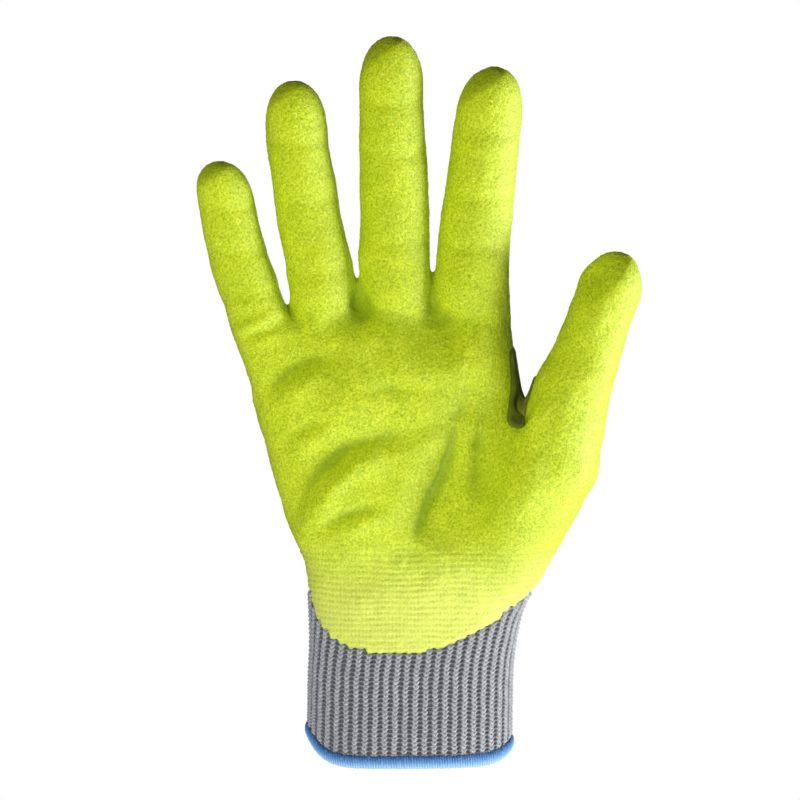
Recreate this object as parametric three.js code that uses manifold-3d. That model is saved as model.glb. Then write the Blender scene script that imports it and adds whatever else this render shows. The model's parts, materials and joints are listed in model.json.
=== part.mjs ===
// Cut resistant work glove for the right hand: a seamless knitted liner with a dipped palm coating,
// a ribbed cuff with an overlocked hem, and a patch over the thumb crotch.
// Millimetres. +Z runs to the fingertips, -Y is the way the palm faces, +X is the thumb side.
// The origin is the centre of the hand opening, in the plane of the hem's lower edge.
import * as THREE from 'three';
import { mergeVertices } from 'three/addons/utils/BufferGeometryUtils.js';
import Module from 'manifold-3d';

const wasm = await Module();
wasm.setup();

// Walls, measured inward from the coating's outer face.
const COATING_OUTER = 0;
const COATING_INNER = -0.8;
const LINER_OUTER = -1.1;
const LINER_INNER = -2.2;
const RIB_OUTER = -0.3;
const RIB_INNER = -1.9;
const FOLD_OUTER = -0.2;
const FOLD_INNER = -2.0;
const PATCH_INNER = 0.3;
const PATCH_OUTER = 1.1;
const GAP = 0.3;
const FAR = 400;
const NEAR_ZERO = 1e-9;
const MERGE_DISTANCE = 1e-4;

// Hem, cuff and wrist.
const HEM_HEIGHT = 4.7;
const HEM_PROUD = 1.1;
const HEM_INSIDE = -3.2;
const HEM_GROOVE_Z = 1.0;
const ELASTIC_TOP_Z = 2.3;
const WRIST_FOLD_Z = 36;
const PALM_Z = 66;
const YARN_RADIUS = 0.4;
const YARN_TURNS = 4;
const YARN_PITCH = 6.8;
const YARN_START_Z = 7;
const YARN_STEPS_PER_TURN = 18;
const YARN_CURVE_SEGMENTS = 3;

// The coating's lower edge is a shallow bowl across the front of the wrist.
const COATING_EDGE_Z = 40;
const COATING_EDGE_FLAT = { left: -16, right: 8 };
const COATING_EDGE_END = { left: [-36, 64], right: [46, 62] };
const COATING_EDGE_BEND = { left: [-31, 42], right: [26, 44] };
const COATING_EDGE_SEGMENTS = 6;
const COATING_SIDE_Y = 2;
const THUMB_COATING_SIDE_Y = -7.2;

// The thumb leaves the palm at its crotch; the skin between two slanted planes folds as it swings.
const THUMB_CROTCH = { x: 39.4, z: 126.4 };
const CROTCH_SPLIT = { x: 39.7, z: 129 };
const THUMB_LEAN = THREE.MathUtils.degToRad(21.5);
const WEB_LEAN = THREE.MathUtils.degToRad(7.2);
const WEB_WIDTH = 14;
const THUMB_FOLD_START = 21.5;
const THUMB_FOLD_LENGTH = 11;
const THUMB_TIP_WRAP_Z = 164;

// Sections of each limb: height z, centre x, half width, and where needed centre y and half depth.
// A limb's rounded end rises over DOME_SWEEP and is flat in the middle.
const DOME_STEPS = 4;
const DOME_SWEEP = THREE.MathUtils.degToRad(82);
const PALM = {
  power: 2.5,
  sides: 20,
  sections: [
    { z: 0, x: 0, width: 35.6, y: 0, depth: 18 },
    { z: 34, x: 0.4, width: 35.5, y: 0, depth: 17.5 },
    { z: 52, x: 2, width: 36.9, y: 0, depth: 17.5 },
    { z: 68, x: 3.2, width: 39.1, y: 0, depth: 17.6 },
    { z: 90, x: -0.4, width: 43.9, y: 0, depth: 17.2 },
    { z: 115, x: -5.3, width: 46.2, y: 0, depth: 16.4 },
    { z: 131, x: -8.2, width: 46.4, y: 0, depth: 14.8 },
    { z: 142, x: -11.2, width: 46.4, y: 0, depth: 12.9 },
  ],
  dome: 16,
};
const THUMB = {
  power: 2.1,
  sides: 14,
  sections: [
    { z: 50, x: 24.6, width: 13, y: 0, depth: 12.5 },
    { z: 68, x: 30.7, width: 16.9, y: -2.8, depth: 15.4 },
    { z: 84, x: 37.1, width: 19, y: -5, depth: 17.3 },
    { z: 99, x: 44.5, width: 20.3, y: -6.6, depth: 17.4 },
    { z: 112, x: 48.2, width: 17.5, y: -8, depth: 16 },
    { z: 127, x: 53.8, width: 14.9, y: -9.4, depth: 13.6 },
    { z: 143.5, x: 60.5, width: 12.2, y: -10.6, depth: 11.5 },
    { z: 160, x: 66.5, width: 11.4, y: -11.4, depth: 10.4 },
  ],
  dome: 16.6,
  tip: { x: 69.9, y: -12.4 },
};

// Fingers: root is the height of the plane just above the web, where the finger leaves the palm.
const FINGER_POWER = 2.1;
const FINGER_SIDES = 12;
const FINGER_DEPTH = 0.92;
const FINGER_CURL = 4.5;
const TIP_NARROWING = 0.985;
const TIP_FLATTENING = 0.97;
const FINGER_WRAP_LENGTH = 12;
const FINGER_CLEARANCE = 0.25;
const FINGERS = {
  little: {
    root: 158.2,
    tip: { z: 207.4, x: -64.9 },
    domeRatio: 1.2,
    line: [[130, -44.3, 10.6], [158, -52.4, 11.4], [171, -57.5, 10.5], [186, -61.2, 9.9]],
  },
  ring: {
    root: 167.4,
    tip: { z: 234.8, x: -39.5 },
    domeRatio: 1.45,
    line: [[130, -27.4, 11.8], [166, -29.7, 11.65], [185, -33.7, 11.35], [212, -38.1, 10.8]],
  },
  middle: {
    root: 170.8,
    tip: { z: 249.7, x: -6.4 },
    domeRatio: 1.45,
    line: [[130, -3.8, 12.6], [172, -5, 12.25], [198, -5.3, 11.9], [226, -6.3, 11.15]],
  },
  index: {
    root: 170.8,
    tip: { z: 239.2, x: 28.5 },
    domeRatio: 1.4,
    line: [[130, 22.5, 15.2], [162, 21, 13.1], [185, 22.6, 12.5], [214, 25.9, 11.7]],
  },
};

const BACK = { width: 60, depth: 50, power: 20, sides: 8, dome: 30 };

// Where a finger folds, as shares of its length from root plane to tip: each fold's middle and length.
const FINGER_FOLDS = {
  root: { middle: 0.1, length: 0.196 },
  knuckle: { middle: 0.37, length: 0.19 },
  tip: { middle: 0.66, length: 0.14 },
};

// Thumb crotch patch: a short strip down the side of the palm, over the crotch and up the thumb.
const PATCH = { left: 32.5, right: 50, bottom: 112, top: 143, front: -9, back: 9 };

const knit = new THREE.MeshStandardMaterial({ color: 0x8b8c91, roughness: 0.95, metalness: 0 });
const rib = new THREE.MeshStandardMaterial({ color: 0xa2a3a8, roughness: 0.95, metalness: 0 });
const coating = new THREE.MeshStandardMaterial({ color: 0xc8dc32, roughness: 0.85, metalness: 0 });
const patchRubber = new THREE.MeshStandardMaterial({ color: 0x8f9a1e, roughness: 0.7, metalness: 0 });
const thread = new THREE.MeshStandardMaterial({ color: 0x4c86c0, roughness: 0.8, metalness: 0 });
const elastic = new THREE.MeshStandardMaterial({ color: 0x3a3f47, roughness: 0.7, metalness: 0 });

const glove = new THREE.Group();

function toSolid(geometry) {
  const bare = geometry.clone();
  bare.deleteAttribute('normal');
  bare.deleteAttribute('uv');
  const merged = mergeVertices(bare, MERGE_DISTANCE);
  const mesh = new wasm.Mesh({
    numProp: 3,
    vertProperties: new Float32Array(merged.attributes.position.array),
    triVerts: new Uint32Array(merged.index.array),
  });
  return new wasm.Manifold(mesh);
}

function addPart(name, solid, material) {
  const mesh = solid.getMesh();
  const geometry = new THREE.BufferGeometry();
  geometry.setAttribute('position', new THREE.BufferAttribute(mesh.vertProperties, 3));
  geometry.setIndex(new THREE.BufferAttribute(mesh.triVerts, 1));
  geometry.computeVertexNormals();
  const part = new THREE.Mesh(geometry, material);
  part.name = name;
  glove.add(part);
}

// A rounded section: a superellipse, rounder at power 2 and squarer above it.
function superellipse(cosine, sine, power) {
  const bend = (value) => {
    if (Math.abs(value) < NEAR_ZERO) {
      return 0;
    }
    return Math.sign(value) * Math.abs(value) ** (2 / power);
  };
  return [bend(cosine), bend(sine)];
}

// Sections above the last one, closing the limb as half an ellipsoid of the given height.
function domeSections(last, height, tip) {
  const sections = [];
  for (let step = 1; step <= DOME_STEPS; step += 1) {
    const angle = (step / DOME_STEPS) * DOME_SWEEP;
    const rise = Math.sin(angle);
    const shrink = Math.cos(angle);
    sections.push({
      z: last.z + height * rise,
      x: THREE.MathUtils.lerp(last.x, tip.x, rise),
      y: THREE.MathUtils.lerp(last.y, tip.y, rise),
      width: last.width * shrink,
      depth: last.depth * shrink,
    });
  }
  return sections;
}

// A closed limb, all of its surface moved outward by offset, as a cylinder reshaped ring by ring.
function limb(shape, offset) {
  const last = shape.sections[shape.sections.length - 1];
  const grown = { ...last, width: last.width + offset, depth: last.depth + offset };
  const sections = shape.sections.map((s) => ({ ...s, width: s.width + offset, depth: s.depth + offset }));
  const tip = shape.tip ?? last;
  sections.push(...domeSections(grown, shape.dome + offset, tip));
  const rings = sections.length - 1;
  const geometry = new THREE.CylinderGeometry(1, 1, 1, shape.sides, rings);
  const position = geometry.attributes.position;
  for (let i = 0; i < position.count; i += 1) {
    const section = sections[Math.round((position.getY(i) + 0.5) * rings)];
    const [u, v] = superellipse(position.getX(i), -position.getZ(i), shape.power);
    position.setXYZ(i, section.x + u * section.width, section.y + v * section.depth, section.z);
  }
  return toSolid(geometry);
}

function fingerShape({ root, tip, domeRatio, line }) {
  const lastWidth = line[line.length - 1][2];
  const dome = lastWidth * domeRatio;
  const curlAt = (z) => -FINGER_CURL * Math.max(0, (z - root) / (tip.z - root)) ** 2;
  const sections = line.map(([z, x, width]) => ({ z, x, width, y: curlAt(z), depth: width * FINGER_DEPTH }));
  const domeZ = tip.z - dome;
  const under = sections[sections.length - 1];
  const lean = (tip.x - under.x) / (tip.z - under.z);
  sections.push({
    z: domeZ,
    x: under.x + lean * (domeZ - under.z),
    y: curlAt(domeZ),
    width: lastWidth * TIP_NARROWING,
    depth: lastWidth * FINGER_DEPTH * TIP_FLATTENING,
  });
  return { power: FINGER_POWER, sides: FINGER_SIDES, sections, dome, tip: { x: tip.x, y: curlAt(tip.z) } };
}

// A box given by its corners, optionally leaned about the Y axis around a point.
function block(low, high, lean = 0, pivot = { x: 0, z: 0 }) {
  const geometry = new THREE.BoxGeometry(high[0] - low[0], high[1] - low[1], high[2] - low[2]);
  geometry.translate((low[0] + high[0]) / 2, (low[1] + high[1]) / 2, (low[2] + high[2]) / 2);
  geometry.rotateY(lean);
  geometry.translate(pivot.x, 0, pivot.z);
  return toSolid(geometry);
}

function levelSlab(bottom, top) {
  return block([-FAR, -FAR, bottom], [FAR, FAR, top]);
}

// The space right of the web's first plane between two distances from it.
function webSlab(from, to) {
  return block([from, -FAR, -FAR], [to, FAR, FAR], -WEB_LEAN, THUMB_CROTCH);
}

// The space along the thumb between two distances from its crotch.
function thumbSlab(from, to) {
  return block([-FAR, -FAR, from], [FAR, FAR, to], THUMB_LEAN, THUMB_CROTCH);
}

const fingerShapes = {};
for (const [name, finger] of Object.entries(FINGERS)) {
  fingerShapes[name] = fingerShape(finger);
}

function wholeHand(offset) {
  let hand = limb(PALM, offset).add(limb(THUMB, offset));
  for (const shape of Object.values(fingerShapes)) {
    hand = hand.add(limb(shape, offset));
  }
  return hand;
}

const handWall = (outer, inner) => wholeHand(outer).subtract(wholeHand(inner));
const linerWall = handWall(LINER_OUTER, LINER_INNER);
const coatingWall = handWall(COATING_OUTER, COATING_INNER);
const foldWall = handWall(FOLD_OUTER, FOLD_INNER);

// What lies behind a finger's side line, where the coating ends: a blunt block that follows its centre.
function backOf(shape, sideShift) {
  const shift = sideShift + BACK.depth;
  const sections = shape.sections.map(({ z, x, y }) => ({
    z, x, y: y + shift, width: BACK.width, depth: BACK.depth,
  }));
  const tip = { x: shape.tip.x, y: shape.tip.y + shift };
  return limb({ power: BACK.power, sides: BACK.sides, sections, dome: BACK.dome, tip }, 0);
}

// The space above the coating's lower edge.
function aboveCoatingEdge() {
  const { left, right } = COATING_EDGE_END;
  const outline = new THREE.Shape();
  outline.moveTo(-FAR, left[1]);
  outline.lineTo(left[0], left[1]);
  outline.quadraticCurveTo(...COATING_EDGE_BEND.left, COATING_EDGE_FLAT.left, COATING_EDGE_Z);
  outline.lineTo(COATING_EDGE_FLAT.right, COATING_EDGE_Z);
  outline.quadraticCurveTo(...COATING_EDGE_BEND.right, right[0], right[1]);
  outline.lineTo(FAR, right[1]);
  outline.lineTo(FAR, FAR);
  outline.lineTo(-FAR, FAR);
  outline.closePath();
  const settings = { depth: FAR, bevelEnabled: false, curveSegments: COATING_EDGE_SEGMENTS };
  const geometry = new THREE.ExtrudeGeometry(outline, settings);
  geometry.rotateX(Math.PI / 2);
  geometry.translate(0, FAR / 2, 0);
  return toSolid(geometry);
}

const front = block([-FAR, -FAR, -FAR], [FAR, COATING_SIDE_Y, FAR]);
const thumbFront = block([-FAR, -FAR, -FAR], [FAR, THUMB_COATING_SIDE_Y, FAR]);

// Hem and cuff.
const ring = (outer, inner, bottom, top) => limb(PALM, outer)
  .subtract(limb(PALM, inner))
  .intersect(levelSlab(bottom, top));

const hemGroove = ring(RIB_OUTER + GAP, RIB_INNER - GAP, HEM_GROOVE_Z, FAR);
addPart('hem_overlock', ring(HEM_PROUD, HEM_INSIDE, 0, HEM_HEIGHT).subtract(hemGroove), thread);
addPart('hem_elastic', ring(RIB_OUTER, RIB_INNER, HEM_GROOVE_Z + GAP, ELASTIC_TOP_Z), elastic);
addPart('cuff_rib', ring(RIB_OUTER, RIB_INNER, ELASTIC_TOP_Z + GAP, WRIST_FOLD_Z - GAP / 2), rib);

// The elastic yarn laid into the rib runs round the inside of the cuff as one helix.
class CuffHelix extends THREE.Curve {
  getPoint(t) {
    const angle = t * YARN_TURNS * 2 * Math.PI;
    const z = YARN_START_Z + t * YARN_TURNS * YARN_PITCH;
    const [u, v] = superellipse(Math.cos(angle), Math.sin(angle), PALM.power);
    const inset = RIB_INNER - GAP - YARN_RADIUS;
    const [low, high] = PALM.sections;
    const share = (z - low.z) / (high.z - low.z);
    const x = THREE.MathUtils.lerp(low.x, high.x, share);
    const width = THREE.MathUtils.lerp(low.width, high.width, share);
    const depth = THREE.MathUtils.lerp(low.depth, high.depth, share);
    return new THREE.Vector3(x + u * (width + inset), v * (depth + inset), z);
  }
}
const yarnSection = new THREE.Shape();
yarnSection.absarc(0, 0, YARN_RADIUS, 0, 2 * Math.PI);
const yarn = new THREE.ExtrudeGeometry(yarnSection, {
  extrudePath: new CuffHelix(),
  steps: YARN_TURNS * YARN_STEPS_PER_TURN,
  curveSegments: YARN_CURVE_SEGMENTS,
});
addPart('cuff_elastic_yarn', toSolid(yarn), elastic);

// Wrist: the skin that folds when the hand bends at the wrist.
const wristSlab = levelSlab(WRIST_FOLD_Z + GAP / 2, PALM_Z - GAP / 2);
addPart('wrist_liner_fold', linerWall.intersect(wristSlab), knit);
const wristCoating = coatingWall.intersect(wristSlab).intersect(front).intersect(aboveCoatingEdge());
addPart('wrist_coating_fold', wristCoating, coating);

// Palm: everything above the wrist, left of the thumb web and below the finger roots.
let notPalm = webSlab(-GAP / 2, FAR).intersect(levelSlab(-FAR, CROTCH_SPLIT.z + GAP));
notPalm = notPalm.add(block([CROTCH_SPLIT.x - GAP / 2, -FAR, CROTCH_SPLIT.z], [FAR, FAR, FAR]));
for (const [name, { root }] of Object.entries(FINGERS)) {
  const finger = limb(fingerShapes[name], FINGER_CLEARANCE);
  notPalm = notPalm.add(finger.intersect(levelSlab(root - GAP / 2, FAR)));
}
const palmSlab = levelSlab(PALM_Z + GAP / 2, FAR);
addPart('palm_liner', linerWall.intersect(palmSlab).subtract(notPalm), knit);
addPart('palm_coating', coatingWall.intersect(palmSlab).subtract(notPalm).intersect(front), coating);

// Thumb: web fold, base, fold over the joint, and tip.
const leftOfThumb = block([-FAR, -FAR, CROTCH_SPLIT.z], [CROTCH_SPLIT.x + GAP / 2, FAR, FAR]);
const webRegion = webSlab(GAP / 2, WEB_WIDTH - GAP / 2)
  .intersect(thumbSlab(-FAR, THUMB_FOLD_START - GAP / 2))
  .intersect(palmSlab)
  .subtract(leftOfThumb);
const baseRegion = webSlab(WEB_WIDTH + GAP / 2, FAR)
  .intersect(thumbSlab(-FAR, THUMB_FOLD_START - GAP / 2))
  .intersect(palmSlab);
const thumbFoldEnd = THUMB_FOLD_START + THUMB_FOLD_LENGTH;
const thumbFoldRegion = thumbSlab(THUMB_FOLD_START + GAP / 2, thumbFoldEnd - GAP / 2);
const thumbTipRegion = thumbSlab(thumbFoldEnd + GAP / 2, FAR);
const thumbWall = (outer, inner) => limb(THUMB, outer).subtract(limb(THUMB, inner));
const thumbTipFront = thumbFront.add(levelSlab(THUMB_TIP_WRAP_Z, FAR));

addPart('thumb_web_fold', foldWall.intersect(webRegion), knit);
addPart('thumb_base_liner', linerWall.intersect(baseRegion), knit);
addPart('thumb_base_coating', coatingWall.intersect(baseRegion).intersect(thumbFront), coating);
addPart('thumb_joint_fold', thumbWall(FOLD_OUTER, FOLD_INNER).intersect(thumbFoldRegion), coating);
addPart('thumb_tip_liner', thumbWall(LINER_OUTER, LINER_INNER).intersect(thumbTipRegion), knit);
const thumbTipCoating = thumbWall(COATING_OUTER, COATING_INNER).intersect(thumbTipRegion);
addPart('thumb_tip_coating', thumbTipCoating.intersect(thumbTipFront), coating);

const patchBlock = block([PATCH.left, PATCH.front, PATCH.bottom], [PATCH.right, PATCH.back, PATCH.top]);
const patchWall = handWall(PATCH_OUTER, PATCH_INNER);
addPart('thumb_crotch_patch', patchWall.intersect(patchBlock), patchRubber);

// Fingers: three folds and three firm lengths each, the lengths with liner and coating.
for (const [name, { root, tip }] of Object.entries(FINGERS)) {
  const shape = fingerShapes[name];
  const length = tip.z - root;
  const wall = (outer, inner) => limb(shape, outer).subtract(limb(shape, inner));
  const foldStart = (fold) => root + (fold.middle - fold.length / 2) * length;
  const foldEnd = (fold) => root + (fold.middle + fold.length / 2) * length;
  const folds = FINGER_FOLDS;
  const behind = backOf(shape, COATING_SIDE_Y);
  const wrapZ = tip.z - FINGER_WRAP_LENGTH;

  const foldParts = [
    ['root_fold', root, foldEnd(folds.root)],
    ['knuckle_fold', foldStart(folds.knuckle), foldEnd(folds.knuckle)],
    ['tip_fold', foldStart(folds.tip), foldEnd(folds.tip)],
  ];
  for (const [label, bottom, top] of foldParts) {
    const slab = levelSlab(bottom + GAP / 2, top - GAP / 2);
    addPart(`${name}_${label}`, wall(FOLD_OUTER, FOLD_INNER).intersect(slab), coating);
  }

  const firmParts = [
    ['proximal', foldEnd(folds.root), foldStart(folds.knuckle)],
    ['middle', foldEnd(folds.knuckle), foldStart(folds.tip)],
    ['tip', foldEnd(folds.tip), FAR],
  ];
  for (const [label, bottom, top] of firmParts) {
    const slab = levelSlab(bottom + GAP / 2, top - GAP / 2);
    const skin = wall(COATING_OUTER, COATING_INNER).intersect(slab);
    const dorsal = behind.subtract(levelSlab(wrapZ, FAR));
    addPart(`${name}_${label}_liner`, wall(LINER_OUTER, LINER_INNER).intersect(slab), knit);
    addPart(`${name}_${label}_coating`, skin.subtract(dorsal), coating);
  }
}

export default glove;
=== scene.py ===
"""Looks of a cut resistant work glove: knitted liner, dipped palm coating, rib cuff, overlocked hem."""
import json
import math

import bmesh
import bpy
import numpy as np
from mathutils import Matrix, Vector, noise
from mathutils.bvhtree import BVHTree


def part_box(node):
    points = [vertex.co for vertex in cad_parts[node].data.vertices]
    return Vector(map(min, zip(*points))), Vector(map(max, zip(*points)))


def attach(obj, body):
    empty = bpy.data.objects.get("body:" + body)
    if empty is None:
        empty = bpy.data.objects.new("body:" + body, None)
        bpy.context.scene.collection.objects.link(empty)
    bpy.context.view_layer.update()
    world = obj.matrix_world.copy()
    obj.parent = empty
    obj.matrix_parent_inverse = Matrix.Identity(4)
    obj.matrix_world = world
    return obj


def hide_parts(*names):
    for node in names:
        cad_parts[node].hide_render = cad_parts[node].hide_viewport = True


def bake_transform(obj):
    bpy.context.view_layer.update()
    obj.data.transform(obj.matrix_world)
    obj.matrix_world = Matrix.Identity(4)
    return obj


MM = 0.001
FINGERS = ("little", "ring", "middle", "index")

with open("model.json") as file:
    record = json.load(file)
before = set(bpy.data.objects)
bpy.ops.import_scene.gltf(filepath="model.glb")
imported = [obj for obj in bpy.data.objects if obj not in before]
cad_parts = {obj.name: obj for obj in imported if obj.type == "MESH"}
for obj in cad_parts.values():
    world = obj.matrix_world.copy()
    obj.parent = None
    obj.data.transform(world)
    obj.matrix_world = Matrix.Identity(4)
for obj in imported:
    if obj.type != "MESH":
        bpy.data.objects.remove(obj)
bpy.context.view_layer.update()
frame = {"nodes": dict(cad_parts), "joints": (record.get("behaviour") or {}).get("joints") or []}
JOINTS = {joint["name"]: joint for joint in frame["joints"]}

# ---------------------------------------------------------------- sizes

VOXEL = 1.0 * MM
CLOSE_GAPS = 0.12 * MM          # grows each CAD solid enough to close the gaps between neighbours
COATING = 0.95 * MM             # thickness of the dipped coating
LINER_OUTER = 1.0 * MM          # depth of the liner's outside below the skin
LINER_INNER = 2.1 * MM
EDGE_LENGTH = 1.4 * MM          # the coating thins to nothing over this length at its edge
PALM_SMOOTHING = 130            # steps
FINGER_SMOOTHING = 0.3          # share of the palm's smoothing

RIB_COUNT = 52
RIB_COLUMNS = 12                # columns of points on each rib
COURSE = 1.49 * MM
RIB_ROW = 0.25 * MM
HEM_THREADS = 210
HEM_COLUMNS = 6                 # columns of points on each turn of the thread


# ---------------------------------------------------------------- places read from the frame

def node_box(node):
    low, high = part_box(node)
    return np.array(low), np.array(high)


def node_centre(node):
    low, high = node_box(node)
    return (low + high) / 2


def joint_pos(name):
    return np.array(JOINTS[name]["pos_m"], float)


def across(name, lead):
    """The direction square to a joint's axis and to Y, pointing the way that lead does."""
    direction = np.cross([0, 1, 0], np.array(JOINTS[name]["axis"], float))
    direction /= np.linalg.norm(direction)
    return direction if direction @ np.array(lead) > 0 else -direction


WRIST_START = node_box("wrist_liner_fold")[0][2]
WRIST_END = node_box("wrist_liner_fold")[1][2]
COATING_BOTTOM = node_box("wrist_coating_fold")[0][2]
LINER_BOTTOM = WRIST_END - 4.85 * MM
RIB_TOP = WRIST_END - 1.85 * MM
RIB_BOTTOM = node_box("cuff_rib")[0][2] + 0.1 * MM
HEM_TOP = node_box("hem_overlock")[1][2]
SWING_POS = joint_pos("thumb_swing")
WEB_ACROSS = across("thumb_swing", (1, 0, 0))
WEB_START = -7 * MM
WEB_END = 7 * MM
THUMB_POS = joint_pos("thumb_flex")
THUMB_ALONG = across("thumb_flex", (0, 0, 1))
THUMB_FOLD_HALF = 5.5 * MM
CROTCH_X = node_box("thumb_web_fold")[0][0]
PATCH_LOW, PATCH_HIGH = node_box("thumb_crotch_patch")
CROTCH_Z = PATCH_HIGH[2] - 14 * MM
PALM_LOW, PALM_HIGH = node_box("palm_liner")
ROOT_Z = node_box("middle_root_fold")[0][2]
THUMB_NODES = ("thumb_web_fold", "thumb_joint_fold", "thumb_tip_liner")
THUMB_LINE = np.array([node_centre(node) for node in THUMB_NODES])


def smoothstep(low, high, value):
    share = np.clip((value - low) / (high - low), 0, 1)
    return share * share * (3 - 2 * share)


def past_web(points):
    """Distance past the middle of the thumb's web."""
    return (points - SWING_POS) @ WEB_ACROSS


def up_thumb(points):
    """Distance past the thumb's joint, toward its tip."""
    return (points - THUMB_POS) @ THUMB_ALONG


def in_thumb(points):
    """True past the web's first plane, and above the crotch only on its thumb side."""
    x, _, z = points.T
    return (past_web(points) > WEB_START) & ((z < CROTCH_Z) | (x > CROTCH_X)) & (z > WRIST_END)


def finger_line(finger, heights):
    """The finger's centre in x and y at the given heights, from its folds' boxes."""
    middle = [node_centre(f"{finger}_{fold}") for fold in ("root_fold", "knuckle_fold", "tip_fold")]
    z = [point[2] for point in middle]
    lines = []
    for axis in (0, 1):
        value = [point[axis] for point in middle]
        low_slope = (value[1] - value[0]) / (z[1] - z[0])
        high_slope = (value[2] - value[1]) / (z[2] - z[1])
        line = np.interp(heights, z, value)
        line = np.where(heights < z[0], value[0] + (heights - z[0]) * low_slope, line)
        lines.append(np.where(heights > z[2], value[2] + (heights - z[2]) * high_slope, line))
    return lines


def thumb_line(heights):
    """The thumb's centre in x and y at the given heights."""
    return [np.interp(heights, THUMB_LINE[:, 2], THUMB_LINE[:, axis]) for axis in (0, 1)]


def nearest_finger(points):
    """Index into FINGERS of the finger whose centre line is nearest in x."""
    distance = [np.abs(points[:, 0] - finger_line(finger, points[:, 2])[0]) for finger in FINGERS]
    return np.argmin(distance, axis=0)


def tip_top(finger):
    """The upper corner of a fingertip's box."""
    return node_box(f"{finger}_tip_coating")[1]


# ---------------------------------------------------------------- meshes as arrays

def new_object(name, data):
    obj = bpy.data.objects.new(name, data)
    bpy.context.scene.collection.objects.link(obj)
    return obj


def modified(mesh, kind, **settings):
    """The mesh as one modifier leaves it."""
    obj = new_object("scratch", mesh)
    modifier = obj.modifiers.new("modifier", kind)
    for key, value in settings.items():
        setattr(modifier, key, value)
    graph = bpy.context.evaluated_depsgraph_get()
    out = bpy.data.meshes.new_from_object(obj.evaluated_get(graph))
    bpy.data.objects.remove(obj)
    return out


def mesh_points(mesh):
    points = np.empty(len(mesh.vertices) * 3, np.float32)
    mesh.vertices.foreach_get("co", points)
    return points.reshape(-1, 3).astype(float)


def mesh_quads(mesh):
    corners = np.empty(len(mesh.loops), np.int32)
    mesh.loops.foreach_get("vertex_index", corners)
    return corners.reshape(-1, 4)


def mesh_from(points, quads, name):
    """A mesh made from arrays, all of its faces quads."""
    mesh = bpy.data.meshes.new(name)
    mesh.vertices.add(len(points))
    mesh.vertices.foreach_set("co", points.astype(np.float32).ravel())
    mesh.loops.add(quads.size)
    mesh.loops.foreach_set("vertex_index", quads.astype(np.int32).ravel())
    mesh.polygons.add(len(quads))
    mesh.polygons.foreach_set("loop_start", np.arange(len(quads), dtype=np.int32) * 4)
    mesh.update(calc_edges=True)
    mesh.polygons.foreach_set("use_smooth", np.ones(len(quads), bool))
    return mesh


def piece_object(name, mesh, points, numbers, material):
    """The object for a finished mesh.

    It keeps a number per point under each name, for the material to read, and each point's place at rest
    in millimetres, so that patterns move with the cloth."""
    for key, values in numbers.items():
        layer = mesh.attributes.new(key, "FLOAT", "POINT")
        layer.data.foreach_set("value", values.ravel().astype(np.float32))
    rest = mesh.attributes.new("rest", "FLOAT_VECTOR", "POINT")
    rest.data.foreach_set("vector", (points / MM).astype(np.float32).ravel())
    mesh.materials.append(material)
    return new_object(name, mesh)


def point_normals(points, quads):
    first, second, third, fourth = (points[quads[:, k]] for k in range(4))
    face = np.cross(third - first, fourth - second)
    total = np.zeros_like(points)
    for axis in range(3):
        for corner in range(4):
            total[:, axis] += np.bincount(quads[:, corner], face[:, axis], len(points))
    length = np.linalg.norm(total, axis=1, keepdims=True)
    return total / np.maximum(length, 1e-12)


def centroids(points, quads):
    return points[quads].mean(axis=1)


def quad_sides(quads):
    """Every side of every quad, as two point numbers in the quad's own direction."""
    return np.concatenate([quads[:, [k, (k + 1) % 4]] for k in range(4)])


def border_sides(quads, count):
    """The sides that only one of the quads has."""
    sides = quad_sides(quads)
    keys = sides[:, 0].astype(np.int64) * count + sides[:, 1]
    opposite = sides[:, 1].astype(np.int64) * count + sides[:, 0]
    return sides[~np.isin(keys, opposite)]


def ring_quads(first, second, columns):
    """Quads between two closed rings of points, whose numbers start at first and at second."""
    turn = np.arange(columns)
    beside = (turn + 1) % columns
    return np.column_stack([first + turn, first + beside, second + beside, second + turn])


def grid_quads(rows, columns):
    """Quads of a grid that closes on itself round its columns."""
    return np.vstack([ring_quads(row * columns, (row + 1) * columns, columns) for row in range(rows - 1)])


def even_loop(loop, count):
    """Places evenly spaced along a closed loop."""
    loop = np.vstack([loop, loop[:1]])
    gone = np.concatenate([[0], np.cumsum(np.linalg.norm(np.diff(loop, axis=0), axis=1))])
    stops = np.linspace(0, gone[-1], count, endpoint=False)
    return np.column_stack([np.interp(stops, gone, place) for place in loop.T])


def segment_reach(place, low, high):
    """For each place: how far along a segment its nearest point is, and the gap from there to the place."""
    length = np.linalg.norm(high - low)
    way = (high - low) / length
    reach = np.clip((place - low) @ way, 0, length)
    return reach, place - (low + reach[:, None] * way)


def noise_at(points, size):
    """Smooth noise with features of about this size, one value per point."""
    return np.array([noise.noise(Vector(point) / size) for point in points])


class Averager:
    """Averages a field over each point's neighbours."""

    def __init__(self, quads, count):
        edges = np.unique(np.sort(quad_sides(quads), axis=1), axis=0)
        self.here = np.concatenate([edges[:, 0], edges[:, 1]])
        self.there = np.concatenate([edges[:, 1], edges[:, 0]])
        self.count = count
        self.links = np.maximum(np.bincount(self.here, minlength=count), 1)

    def smooth(self, field, factor, steps):
        field = field.copy()
        for _ in range(steps):
            for axis in range(field.shape[1]):
                mean = np.bincount(self.here, field[self.there, axis], self.count) / self.links
                field[:, axis] += factor * (mean - field[:, axis])
        return field


# ---------------------------------------------------------------- the hand's outer skin

PLUG_DEPTH = 16 * MM
PLUG_OVERLAP = 3 * MM


def node_depth(name):
    """How far below the skin a CAD node's outside lies."""
    if name == "cuff_rib":
        return 0.3 * MM
    if name.endswith("liner") or name == "wrist_liner_fold":
        return 1.1 * MM
    if name.endswith("coating") or name == "wrist_coating_fold":
        return 0.0
    return 0.2 * MM


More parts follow.
